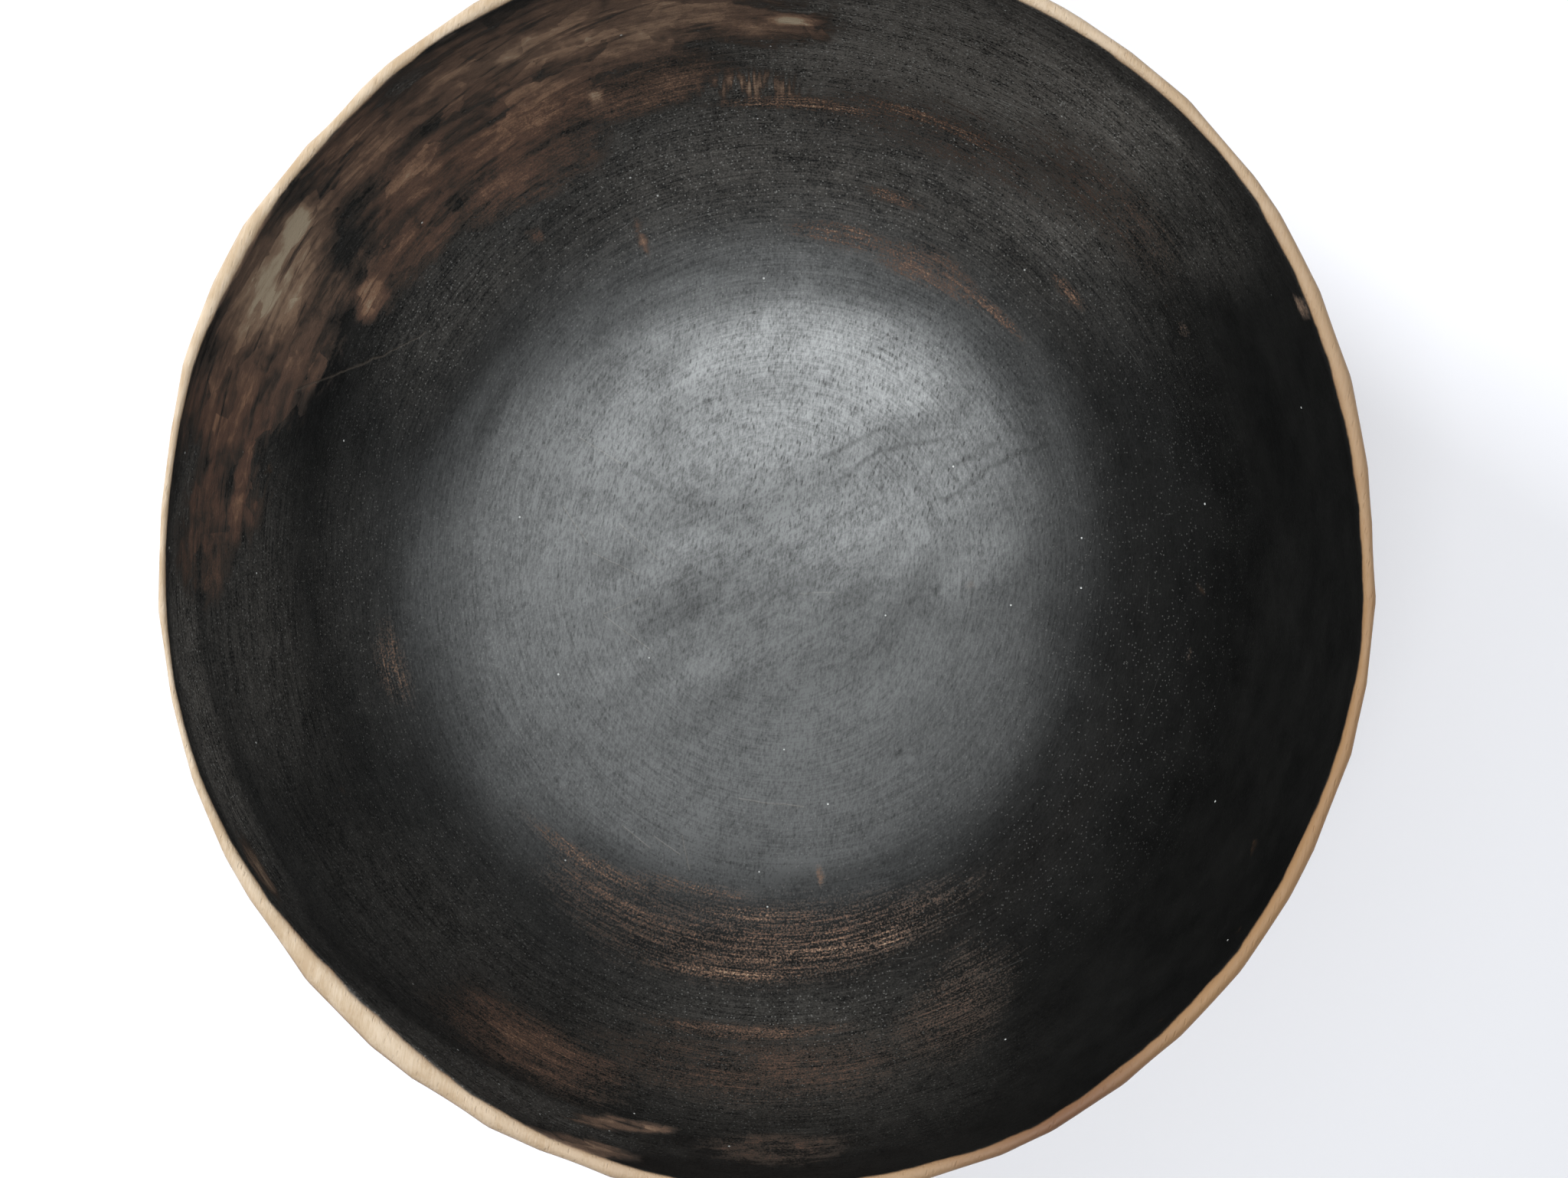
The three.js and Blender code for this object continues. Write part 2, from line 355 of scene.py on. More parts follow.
# Wear of the hollow, by where it shows in the picture: across and down to its middle, half its length round
# the bowl, half its breadth, its slant off the round in degrees, how far it is worn (1 is bare wood, and a
# place below 0 has kept its black), how golden, not red, it is, and how fine its streaks are.
mouthMiddle = (1003, 737)
wearPatches = {
    "rimLeft": (470, 205, 120, 64, 0, 0.78, 0.25, 0.1),
    "rimHigh": (640, 85, 150, 58, 0, 0.9, 0.35, 0.0),
    "rimTop": (850, 25, 190, 54, 0, 0.88, 0.45, 0.1),
    "rimMiddle": (735, 45, 95, 50, 0, 1.12, 0.4, 0.0),
    "sweepLeft": (545, 225, 130, 56, 0, 0.74, 0.1, 0.2),
    "sweepHigh": (680, 150, 140, 52, 0, 0.92, 0.05, 0.2),
    "sweepTop": (830, 115, 130, 34, 0, 0.58, 0.22, 0.5),
    "sweepLow": (535, 310, 130, 46, 0, 0.55, 0.08, 0.2),
    "sweepInner": (690, 225, 120, 42, 0, 0.63, 0.08, 0.3),
    "paleHigh": (668, 74, 42, 15, -8, 1.15, 0.8, 0.0),
    "paleTop": (848, 42, 55, 20, 0, 0.98, 0.5, 0.1),
    "goldTop": (1032, 26, 42, 9, 0, 1.6, 0.3, 0.1),
    "goldSoft": (1005, 32, 95, 28, 0, 0.75, 0.3, 0.2),
    "chatterGround": (983, 110, 66, 20, 0, 0.3, 0.75, 0.2),
    "goldLeft": (985, 40, 24, 12, 0, 1.0, 0.4, 0.1),
    "topSpot": (778, 126, 9, 14, 0, 1.22, 0.64, 0.3),
    "tanPatch": (365, 365, 125, 60, 0, 1.3, 0.5, 0.0),
    "tanBlock": (386, 300, 40, 24, 0, 1.6, 0.7, 0.0),
    "tanLow": (352, 388, 50, 26, 0, 1.4, 0.64, 0.0),
    "tanBridge": (425, 378, 50, 50, 0, 0.72, 0.45, 0.1),
    "orangeSpot": (485, 388, 32, 26, 0, 1.1, 0.1, 0.1),
    "goldTick": (468, 343, 26, 14, 0, 0.7, 0.56, 0.2),
    "patchEdge": (395, 455, 80, 50, 0, 0.7, 0.24, 0.1),
    "leftStreaks": (312, 525, 95, 72, 0, 0.84, 0.0, 0.0),
    "leftRed": (300, 640, 80, 50, 0, 0.72, 0.0, 0.1),
    "leftLow": (265, 720, 70, 40, 0, 0.49, 0.08, 0.2),
    "topArc": (1040, 134, 110, 8, 0, 0.62, 0.28, 1.0),
    "topArcRight": (1220, 158, 130, 10, 0, 0.44, 0.17, 1.0),
    "topRight": (1240, 175, 250, 55, 0, 0.2, 0.11, 1.0),
    "topRightLow": (1430, 245, 170, 55, 0, 0.22, 0.06, 1.0),
    "redTick": (837, 306, 6, 30, 0, 0.85, 0.24, 0.2),
    "redTickLeft": (700, 308, 9, 14, 40, 0.55, 0.0, 0.3),
    "redHigh": (1168, 258, 40, 9, 0, 0.5, 0.17, 1.0),
    "redMiddle": (1100, 306, 75, 18, 0, 0.44, 0.11, 1.0),
    "redPatch": (1215, 352, 75, 24, 0, 0.62, 0.15, 0.7),
    "redEnd": (1300, 408, 50, 8, 0, 0.5, 0.11, 1.0),
    "redFar": (1395, 380, 32, 9, 0, 0.5, 0.22, 0.8),
    "arcs": (1000, 1235, 270, 62, 0, 0.3, 0.16, 1.0),
    "arcHigh": (975, 1196, 80, 11, 0, 0.42, 0.44, 1.0),
    "arcMain": (1045, 1248, 165, 13, 0, 0.42, 0.47, 1.0),
    "arcGlow": (1150, 1226, 48, 22, 0, 0.36, 0.5, 1.0),
    "arcLow": (950, 1272, 130, 10, 0, 0.43, 0.33, 1.0),
    "arcLeft": (775, 1130, 110, 14, 0, 0.4, 0.33, 1.0),
    "arcFarLeft": (800, 1180, 110, 40, 0, 0.28, 0.28, 1.0),
    "arcInner": (905, 1160, 80, 9, 0, 0.4, 0.28, 1.0),
    "tickLow": (1071, 1143, 5, 16, 0, 0.5, 0.48, 0.3),
    "lowArc": (970, 1348, 140, 12, 0, 0.42, 0.28, 0.8),
    "lowRight": (1240, 1320, 120, 60, 20, 0.24, 0.1, 0.8),
    "lowBand": (990, 1400, 260, 55, 0, 0.3, 0.06, 0.6),
    "lowLeft": (690, 1368, 150, 44, 0, 0.55, 0.1, 0.5),
    "paleLow": (805, 1467, 64, 9, 6, 0.95, 0.45, 0.0),
    "paleLowest": (762, 1494, 64, 9, 0, 0.95, 0.45, 0.0),
    "rimBottom": (1010, 1500, 110, 24, 0, 0.34, 0.0, 0.3),
    "floorEdge": (512, 868, 60, 22, 0, 0.3, 0.4, 1.0),
    "fleckLow": (335, 1128, 46, 7, 0, 0.98, 0.72, 0.0),
    "rightFleck": (1552, 856, 14, 6, 0, 0.2, 0.3, 0.9),
    "highFleck": (1545, 430, 12, 8, 0, 0.25, 0.5, 0.9),
    "rimFleck": (1700, 400, 16, 6, 0, 0.76, 0.72, 0.3),
    "keptHigh": (462, 292, 60, 50, 0, -0.12, 0, 0),
    "keptMiddle": (452, 452, 40, 50, 20, -0.15, 0, 0),
    "keptInner": (720, 118, 90, 14, 0, -0.16, 0, 0),
    "keptTop": (760, 78, 110, 14, 0, -0.12, 0, 0),
}

# Grey dust of scraped end grain and painted light, as patches like those with how strong each is:
# the narrow bands along the inside of the lip and topRim are painted light bounced off the lip's inner edge,
# cornerWall is painted sheen on the black, and topWall is partly painted light.
dustAndLightPatches = {
    "topWall": (1065, 188, 420, 135, 0, 1.05),
    "topRim": (1242, 80, 330, 120, 0, 2.3),
    "topRight": (1350, 215, 185, 115, 0, 1.45),
    "topBand": (1080, 112, 260, 40, 0, 1.5),
    "upperRightRim": (1455, 118, 170, 18, 0, 1.6),
    "rightTop": (1550, 270, 120, 90, 0, 0.45),
    "upperLeft": (600, 370, 190, 80, 0, 0.65),
    "cornerWall": (470, 270, 170, 110, 0, 0.28),
    "topLeft": (800, 60, 280, 70, 0, 0.9),
    "upperLeftRim": (545, 108, 200, 18, 0, 1.5),
    "leftFoot": (450, 790, 230, 70, 0, 0.25),
    "leftWall": (330, 830, 240, 75, 0, 0.72),
    "leftRim": (255, 900, 360, 20, 0, 1.6),
    "lowerLeftRim": (612, 1402, 230, 22, 0, 1.0),
    "bottomWall": (960, 1375, 300, 110, 0, 0.58),
    "lowerLeft": (560, 1230, 240, 110, 0, 0.52),
}

# Painted highlights and painted shade in the floor's gloss: spots laid flat in the picture that raise the
# gloss, as painted highlights that stand in for light on swells of the floor, and where below 0 lower it, as
# painted shade, which on the right wall darkens its reflection: across and down, half the length and half
# the breadth, the slant in degrees, and how strong
paintedSheenSpots = {
    "glowTop": (1085, 475, 110, 38, 25, 0.05),
    "glowRidge": (908, 500, 20, 70, 10, 0.6),
    "shadeLeft": (868, 590, 24, 60, 20, -0.5),
    "glowMiddle": (1015, 675, 55, 24, -15, 0.9),
    "glowLeft": (775, 590, 70, 55, 0, 0.5),
    "bandLeft": (845, 700, 20, 70, -5, 0.25),
    "shadeRight": (1260, 610, 100, 60, 0, -0.55),
    "shadeMiddle": (1150, 770, 110, 45, 10, -0.25),
    "glowFoot": (990, 1000, 260, 70, 0, 0.3),
    "glowLow": (1045, 880, 65, 45, 0, 0.3),
    "shadeBright": (1010, 585, 110, 50, 0, -0.25),
    "glowRight": (1345, 770, 50, 110, 0, 0.3),
    "shadeTop": (900, 420, 110, 60, 0, -0.25),
    "shadeLow": (1240, 1000, 120, 90, 0, -0.35),
    "glowLower": (930, 1130, 200, 60, 10, 0.5),
    "glowEdge": (865, 1165, 120, 50, 0, 0.5),
    "glowEdgeRight": (1140, 1165, 90, 40, 0, 0.5),
    "dullLow": (1610, 1180, 110, 160, 0, -1.2),
    "dullRight": (1580, 780, 150, 420, 0, -1.5),
}

openGrain = {"upperRight": (1110, 570, 330, 200, 0, 1.0)}  # where the vessels stand open, likewise

# Other marks, by their places in the picture
chatterPatch = (983, 110, 62, 17, 0)  # upright ticks of a scraper that chattered: a patch, as above
scratches = {  # from and to
    "longScratch": ((388, 508), (555, 436)),
    "checkLeft": ((818, 1078), (850, 1106)),
    "checkMiddle": ((857, 1094), (887, 1114)),
    "checkRight": ((889, 1090), (901, 1137)),
    "floorHigh": ((757, 572), (814, 606)),
    "floorLeft": ((738, 663), (767, 706)),
    "floorCross": ((805, 682), (857, 730)),
    "floorLow": ((776, 720), (829, 749)),
    "floorFork": ((787, 803), (833, 779)),
    "floorForkLow": ((787, 804), (856, 848)),
    "floorMiddle": ((1046, 776), (1094, 775)),
    "lowerArc": ((968, 1043), (1050, 1052)),
}
grooves = {  # the same, wide and soft
    "low": ((1233, 653), (1267, 630)),
    "high": ((1267, 630), (1329, 589)),
    "end": ((1329, 589), (1369, 582)),
    "left": ((1198, 637), (1233, 655)),
    "far": ((1095, 630), (1152, 587)),
    "farHigh": ((1152, 587), (1243, 571)),
    "upper": ((1076, 599), (1157, 558)),
    "middle": ((1248, 606), (1295, 580)),
    "right": ((1314, 558), (1352, 568)),
    "floorLeft": ((824, 615), (909, 658)),
}
dents = {
    "right": (1226, 768),
    "left": (927, 526),
    "middle": (842, 663),
    "low": (1176, 985),
    "pit": (727, 1017),
}
dentLight = (9, 4)  # from a dent to the side of it that gets a painted highlight, in the picture

patchForm = {
    "waver": 0.12,  # of its edge
    "falloff": 1.5,  # more makes the edge harder
    "overLip": 0.7,  # how far across the lip a patch reaches
}
plainWear = {"weight": 1e-3, "golden": 0.4, "fine": 0.8}  # where no patch lies
outOfSight = 1e9  # larger than any square of a distance in the picture


# A soft patch on the hollow, 1 over its middle, that falls off at an uneven edge. It lies round the bowl:
# u is the angle about the mouth's middle in the picture, times the patch's own distance from there, and v is
# how much further out a point is.
def softPatch(form, midX, midY, halfLength, halfBreadth, slant):
    across, down = pictureOf(form["x"], form["y"], form["z"])
    outX, outY = midX - mouthMiddle[0], midY - mouthMiddle[1]
    reach = np.hypot(outX, outY)
    turn = np.arctan2(down - mouthMiddle[1], across - mouthMiddle[0]) - np.arctan2(outY, outX)
    u = ((turn + np.pi) % (2 * np.pi) - np.pi) * reach
    v = np.hypot(across - mouthMiddle[0], down - mouthMiddle[1]) - reach
    lean = np.radians(slant)
    a = (u * np.cos(lean) + v * np.sin(lean)) / halfLength
    b = (v * np.cos(lean) - u * np.sin(lean)) / halfBreadth
    edge = 1 + patchForm["waver"] * (np.sin(3 * a + 2 * b + midX) + np.sin(4 * b - 2 * a + midY))
    soft = np.exp(-((a**2 + b**2) * edge) ** patchForm["falloff"])
    return soft * (form["across"] > patchForm["overLip"])


# How far the hollow is worn, the most of all patches, less what has kept its black, and the hue and the
# fineness of the wear, which are the patches' mean by how strong each is.
def wearOver(form):
    worn = np.zeros(form["x"].shape)
    kept = np.zeros(worn.shape)
    weight = np.full(worn.shape, plainWear["weight"])
    golden = weight * plainWear["golden"]
    fine = weight * plainWear["fine"]
    for *place, strength, hue, fineness in wearPatches.values():
        spot = strength * softPatch(form, *place)
        worn = np.maximum(worn, spot)
        kept = np.minimum(kept, spot)
        weight = weight + np.maximum(spot, 0)
        golden = golden + np.maximum(spot, 0) * hue
        fine = fine + np.maximum(spot, 0) * fineness
    return worn + kept, golden / weight, fine / weight


# Soft round spots of the floor, laid flat in the picture, and added up.
def spotsOver(form, spots):
    across, down = pictureOf(form["x"], form["y"], form["z"])
    total = 0
    for midX, midY, halfLength, halfBreadth, slant, strength in spots.values():
        lean = np.radians(slant)
        u, v = across - midX, down - midY
        a = (u * np.cos(lean) + v * np.sin(lean)) / halfLength
        b = (v * np.cos(lean) - u * np.sin(lean)) / halfBreadth
        total = total + strength * np.exp(-(a**2) - b**2)
    return total * (form["across"] == 1)


# Dust and painted light over the hollow, the most of all patches.
def dustAndLightOver(form):
    spots = [strength * softPatch(form, *place) for *place, strength in dustAndLightPatches.values()]
    return np.max(spots, axis=0)


# The point of the hollow that shows at a place in the picture.
def seenAt(form, place):
    across, down = pictureOf(form["x"], form["y"], form["z"])
    miss = (across - place[0]) ** 2 + (down - place[1]) ** 2 + outOfSight * (form["across"] < 1)
    nearest = np.argmin(miss)
    return tuple(float(form[axis].flat[nearest]) for axis in ("x", "y", "z"))


def makeBowl():
    form = carveBowl()
    floorTop = float(form["z"][-1].mean())
    mesh = bowlMesh(form, (0, 0, 0), (0, 0, floorTop))
    worn, golden, fine = wearOver(form)
    paintedSheen = spotsOver(form, paintedSheenSpots)
    openVessels = spotsOver(form, openGrain)
    marks = {  # values over the rows, then at the middles of the foot and the floor
        "across": (form["across"], (0, 1)),
        "fromLip": (form["fromLip"], form["fromLip"][[0, -1], 0]),
        "hewn": (form["hewn"], (0, 0)),
        "worn": (worn, (0, 0)),
        "golden": (golden, (0, 0)),
        "fine": (fine, (0, 0)),
        "dustAndLight": (dustAndLightOver(form), (0, 0)),
        "paintedSheen": (paintedSheen, (0, paintedSheen[-1].mean())),
        "open": (openVessels, (0, openVessels[-1].mean())),
        "chatter": (softPatch(form, *chatterPatch), (0, 0)),
    }
    for name, (values, poles) in marks.items():
        addAttribute(mesh, name, values, poles)
    piece = bpy.data.objects.new("carvedBowl", mesh)
    scene.collection.objects.link(piece)
    return piece, form, list(marks)


carvedBowl, bowlForm, markNames = makeBowl()
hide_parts("bowl")
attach(carvedBowl, "root")
print("bowl carved,", len(carvedBowl.data.polygons), "faces")


# Shader maths: a Signal is one output of a material's nodes, and arithmetic on it adds Math nodes

class Signal:
    def __init__(self, tree, socket=None):
        self.tree = tree
        self.socket = socket

    # Any node, by its type, its settings and the values or links of its sockets.
    def node(self, kind, settings, inputs, output=0):
        made = self.tree.nodes.new(kind)
        for name, value in settings.items():
            setattr(made, name, value)
        for name, value in inputs.items():
            if isinstance(value, Signal):
                self.tree.links.new(value.socket, made.inputs[name])
            else:
                made.inputs[name].default_value = value
        return Signal(self.tree, made.outputs[output] if made.outputs else None)

    def math(self, operation, first, second):
        return self.node("ShaderNodeMath", {"operation": operation}, {0: first, 1: second})

    def __add__(self, other):
        return self.math("ADD", self, other)

    def __radd__(self, other):
        return self.math("ADD", other, self)

    def __sub__(self, other):
        return self.math("SUBTRACT", self, other)

    def __rsub__(self, other):
        return self.math("SUBTRACT", other, self)

    def __mul__(self, other):
        return self.math("MULTIPLY", self, other)

    def __rmul__(self, other):
        return self.math("MULTIPLY", other, self)

    def __truediv__(self, other):
        return self.math("DIVIDE", self, other)

    def __pow__(self, other):
        return self.math("POWER", self, other)

    def clamped(self):
        return self.node("ShaderNodeClamp", {}, {"Value": self})

    # 0 at low, 1 at high and smooth between; low may be the larger one.
    def step(self, low, high):
        sockets = {"Value": self, "From Min": low, "From Max": high}
        return self.node("ShaderNodeMapRange", {"interpolation_type": "SMOOTHSTEP"}, sockets, "Result")

    # As a factor: from one value to another.
    def between(self, first, second):
        return self.node("ShaderNodeMix", {"data_type": "FLOAT"}, {0: self, 2: first, 3: second}, 0)

    # As a factor: from one colour to another.
    def colour(self, first, second):
        sides = [side if isinstance(side, Signal) else (*side, 1) for side in (first, second)]
        return self.node("ShaderNodeMix", {"data_type": "RGBA"}, {0: self, 6: sides[0], 7: sides[1]}, 2)

    def vector(self, operation, first, second, output="Vector"):
        return self.node("ShaderNodeVectorMath", {"operation": operation}, {0: first, 1: second}, output)

    # On a place: in cells of a size, after a turn about the upright axis in degrees.
    def cells(self, size, turn=0):
        turned = self
        if turn:
            about = (0, 0, np.radians(turn))
            turned = self.node("ShaderNodeMapping", {}, {"Vector": self, "Rotation": about})
        return self.vector("DIVIDE", turned, size)

    # On a place in cells: smooth noise about 0, mostly within 1 either way.
    def noise(self, detail=2, roughness=0.5, distortion=0):
        sockets = {"Vector": self, "Scale": 1, "Detail": detail, "Roughness": roughness}
        made = self.node("ShaderNodeTexNoise", {}, {**sockets, "Distortion": distortion}, "Fac")
        return (made - 0.5) * 4

    # On a place in cells: distance to the nearest of scattered points, one in each cell.
    def scatter(self):
        return self.node("ShaderNodeTexVoronoi", {}, {"Vector": self, "Scale": 1}, "Distance")

    # On a place in cells: an even random number for the cell of the nearest point.
    def lot(self):
        tint = self.node("ShaderNodeTexVoronoi", {}, {"Vector": self, "Scale": 1}, "Color")
        return self.node("ShaderNodeSeparateColor", {}, {"Color": tint}, "Red")

    # As a height in millimetres: the normal that it gives.
    def bump(self):
        return self.node("ShaderNodeBump", {}, {"Height": self, "Distance": mm, "Strength": 1}, "Normal")


def attribute(start, name):
    return start.node("ShaderNodeAttribute", {"attribute_name": name}, {}, "Fac")


wood = {
    "lean": 12,  # degrees by which the grain leans off +Y
    "vessel": (1.0, 3.4, 1.0),  # spacing of open vessels across, along and through the grain
    "vesselEdge": (0.36, 0.14),  # from a vessel's rim to its full depth, as shares of the spacing
    "vesselSpread": 0.8,  # power on an even lot, by which vessels differ
    "fibre": (0.5, 9.0, 0.5),
    "ringSpacing": 5.0,
    "pith": (-30.0, 0.0, 260.0),  # on the log's middle, which runs along the grain above the mouth
    "wobble": ((50, 250, 50), 7.0),  # slow unevenness of the rings: its cells and its size
    "jitter": ((14, 90, 14), 1.6),  # the quick one, likewise
}


# Signals of the solid wood, read from the place in the block, so that they run through it unbroken:
# vessels, which are ticks along the grain and dots on end grain, fibres, and growth rings round the pith.
def woodSignals(block):
    cell = block.cells(wood["vessel"], wood["lean"])
    vessel = cell.scatter().step(*wood["vesselEdge"]) * cell.lot() ** wood["vesselSpread"]
    fibre = block.cells(wood["fibre"], wood["lean"]).noise(3, 0.6)
    fromPith = block.vector("SUBTRACT", block, wood["pith"])
    square = block.vector("MULTIPLY", fromPith, (1, 0, 1))
    distance = block.vector("LENGTH", square, (0, 0, 0), "Value")
    for cells, size in (wood["wobble"], wood["jitter"]):
        distance = distance + block.cells(cells).noise() * size
    rings = distance / wood["ringSpacing"]
    ring = rings.math("PINGPONG", rings, 0.5) * 2
    return {"vessel": vessel, "fibre": fibre, "ring": ring}


# The place on the hollow as it lies round the bowl: the direction out from the middle, by how many cells of
# a pattern go round in one radian, and the way down from the lip, by the height of a cell.
def placeRound(block, fromLip, perRadian, rise):
    outward = block.vector("NORMALIZE", block.vector("MULTIPLY", block, (1, 1, 0)), (0, 0, 0))
    turned = block.vector("MULTIPLY", outward, (perRadian, perRadian, 0))
    down = block.node("ShaderNodeCombineXYZ", {}, {"Z": fromLip / rise})
    return block.vector("ADD", turned, down)


# Thin lines from one point to another: 1 along each line and 0 past its half width, seen from above.
def thinLines(block, ends, halfWidth):
    total = 0
    for begin, last in ends:
        along = (np.array(last) - begin) * (1, 1, 0)
        fromBegin = block.vector("MULTIPLY", block.vector("SUBTRACT", block, begin), (1, 1, 0))
        reach = block.vector("DOT_PRODUCT", fromBegin, tuple(along / (along @ along)), "Value").clamped()
        scaled = {0: tuple(along), "Scale": reach}
        onLine = block.node("ShaderNodeVectorMath", {"operation": "SCALE"}, scaled)
        total = total + block.vector("DISTANCE", fromBegin, onLine, "Value").step(halfWidth, 0)
    return total.clamped()


# Small round hollows: 1 in the middle of each and 0 past its radius.
def smallDents(block, middles, radius):
    return sum(block.vector("DISTANCE", block, middle, "Value").step(radius, 0) for middle in middles)


# Patterns in the block: the size of a cell across, along and through the grain, its turn in degrees, and the
# noise's detail, roughness and distortion
blockPatterns = {
    "smudge": ((26, 34, 26), 0, 3, 0.6, 0),
    "mottle": ((7, 10, 7), 0, 3, 0.6, 0),
    "blotch": ((2.2, 3.4, 2.2), 0, 2, 0.6, 0),
    "grit": ((0.6, 0.7, 0.6), 0, 1, 0.6, 0),
    "grain": ((0.65, 2.6, 0.65), wood["lean"], 2, 0.6, 0),
    "islands": ((8, 8, 8), 0, 2, 0.5, 0.8),
    "drift": ((9, 9, 9), 0, 2, 0.5, 0),
    "brush": ((0.9, 9, 0.9), 60, 2, 0.6, 0),  # rising to the right
    "smear": ((5, 13, 5), 60, 3, 0.6, 0.8),
    "rub": ((0.5, 16, 0.5), 70, 1, 0.5, 0),  # long thin lines
    "crossRub": ((0.5, 12, 0.5), 105, 1, 0.5, 0),
}

# Patterns round the bowl: cells to a radian, the height of a cell, how much they climb towards +X, and the
# noise's detail, roughness and distortion
roundPatterns = {
    "stroke": (8, 4.5, -0.25, 2, 0.5, 0.6),
    "line": (4, 0.9, 0, 3, 0.7, 0),
    "hair": (5, 0.6, 0.06, 2, 0.6, 0),
    "rake": (5, 0.5, 0.3, 1, 0.5, 0),  # thin, rising to the right
    "nick": (140, 9, 0, 1, 0.5, 0),  # thin, across the round
    "ticks": (85, 16, 0, 1, 0.5, 0),  # of the scraper that chattered
    "gap": (5, 3.2, 0.12, 3, 0.6, 0),  # lines that kept their black
}

# Parts of those that count: from nothing to all of it
patternSpans = {
    "rub": (0.9, 1.5),
    "crossRub": (1.0, 1.6),
    "rake": (0.8, 1.4),
    "nick": (0.9, 1.5),
    "gap": (0.2, 1.0),
}

finish = {
    "black": (0.0024, 0.0024, 0.0023),
    "soot": (0.0074, 0.0072, 0.0067),
    # grey of the dust, which also stands for painted light on the black
    "dustAndLightGrey": (0.167, 0.151, 0.135),
    "umber": (0.055, 0.041, 0.033),
    "russet": (0.138, 0.075, 0.053),
    "golden": (0.205, 0.141, 0.1),
    "copper": (0.33, 0.18, 0.11),
    "tan": (0.37, 0.27, 0.19),
    "straw": (0.54, 0.425, 0.3),
    # pale dots of end grain, partly painted glints of grit catching the light
    "stippleAndGlints": (0.32, 0.31, 0.29),
    "scuff": (0.1, 0.08, 0.063),
    "speck": (0.6, 0.6, 0.58),
    # how thin the black is where each colour of wood comes in
    "umberAt": (0.12, 0.42),
    "russetAt": (0.35, 0.85),
    "copperAt": (0.8, 1.25),
    "strawAt": (1.2, 1.65),
    "dullAt": (0.2, 0.7),  # and where the gloss goes
    # ways down from the lip
    "wallSpan": (225, 180),  # from the floor's middle to the walls
    "ringSpan": (235, 190),  # where fine lines go round the floor
    "footStart": (60, 120),  # foot of the walls
    "footEnd": (205, 150),
    "glossSpan": (50, 165),  # from the dull upper wall to the full gloss of the floor
    # shares of the patterns in what they make uneven
    "sootBy": {"smudge": 0.5, "mottle": 0.3},
    "coarseBy": {"flat": 0.5, "islands": 0.2, "stroke": 0.3},
    "fineBy": {"line": 0.7, "hair": 0.4, "grit": 0.8},
    "brokenBy": {"mottle": 0.12, "blotch": 0.12},
    "dustAndLightBy": {"line": 0.45, "hair": 0.3, "grit": 0.6, "mottle": 0.3, "blotch": 0.25},
    "stippleAndGlintsBy": {"dot": 1.0, "rake": 0.6, "nick": 0.5},
    "floorSheenBy": {"brush": 0.16, "smear": 0.18, "rub": 0.25, "crossRub": 0.25},
    "sheenBy": {"smudge": 0.14, "mottle": 0.18, "blotch": 0.1, "grit": 0.22},
    "roughBy": {"mottle": 0.03, "vessel": 0.12},
    "reliefBy": {"fibre": 0.012, "grit": 0.02, "mottle": 0.05},  # millimetres, as in the next two
    "wallReliefBy": {"line": 0.03, "stroke": 0.04, "hair": 0.01},
    "depthBy": {"vessel": 0.06, "scratch": 0.12, "groove": 0.15, "dent": 0.35},
    "flatCells": (8, 8),  # strokes of the scraper, to a radian and in height
    "flatWaver": 2.5,
    "dotCells": (1.4, 1.4, 1.4),
    "dotEdge": (0.24, 0.1),  # as a share of a cell
    "speckCells": (13, 13, 13),
    "speckEdge": (0.03, 0.02),
    "lineDrift": 0.5,  # by which scratches waver
    "scratchWidth": 0.4,  # half of it
    "grooveWidth": 1.5,
    "dentRadius": 2.2,
    "roughness": 0.46,
    "ownGloss": 0.4,
    "sheen": 0.71,
    "coatRoughness": 0.34,
    "coatIor": 2.05,
}


# Those patterns by name, with one tone for each stroke of the scraper, dots, and specks of lint.
def finishPatterns(block, fromLip):
    sideways = block.node("ShaderNodeSeparateXYZ", {}, {"Vector": block}, "X")
    made = {}
    for name, (size, turn, *kind) in blockPatterns.items():
        made[name] = block.cells(size, turn).noise(*kind)
    for name, (perRadian, rise, climb, *kind) in roundPatterns.items():
        made[name] = placeRound(block, fromLip + sideways * climb, perRadian, rise).noise(*kind)
    for name, span in patternSpans.items():
        made[name] = made[name].step(*span)
    uneven = fromLip + made["islands"] * finish["flatWaver"]
    made["flat"] = placeRound(block, uneven, *finish["flatCells"]).lot() - 0.5
    made["dot"] = block.cells(finish["dotCells"]).scatter().step(*finish["dotEdge"])
    made["speck"] = block.cells(finish["speckCells"]).scatter().step(*finish["speckEdge"])
    return made


# Scratches, grooves and dents at their places, and a painted highlight beside each dent. The lines waver
# with the drift, and grooves come and go.
def singleMarks(block, pattern, form):
    drift = pattern["drift"] * finish["lineDrift"]
    shift = block.node("ShaderNodeCombineXYZ", {}, {"X": drift, "Y": drift * -1})
    bent = block.vector("ADD", block, shift)
    endsOf = lambda lines: [[seenAt(form, place) for place in ends] for ends in lines.values()]
    middles = [seenAt(form, place) for place in dents.values()]
    litSides = [seenAt(form, np.add(place, dentLight)) for place in dents.values()]
    groove = thinLines(bent, endsOf(grooves), finish["grooveWidth"])
    return {
        "scratch": thinLines(bent, endsOf(scratches), finish["scratchWidth"]),
        "groove": groove * (0.7 + pattern["mottle"] * 0.6).clamped(),
        "dent": smallDents(block, middles, finish["dentRadius"]),
        "dentPaintedHighlight": smallDents(block, litSides, finish["dentRadius"]),
    }


# Patterns added up, each by its share.
def addedUp(pattern, shares):
    return sum(pattern[name] * share for name, share in shares.items())


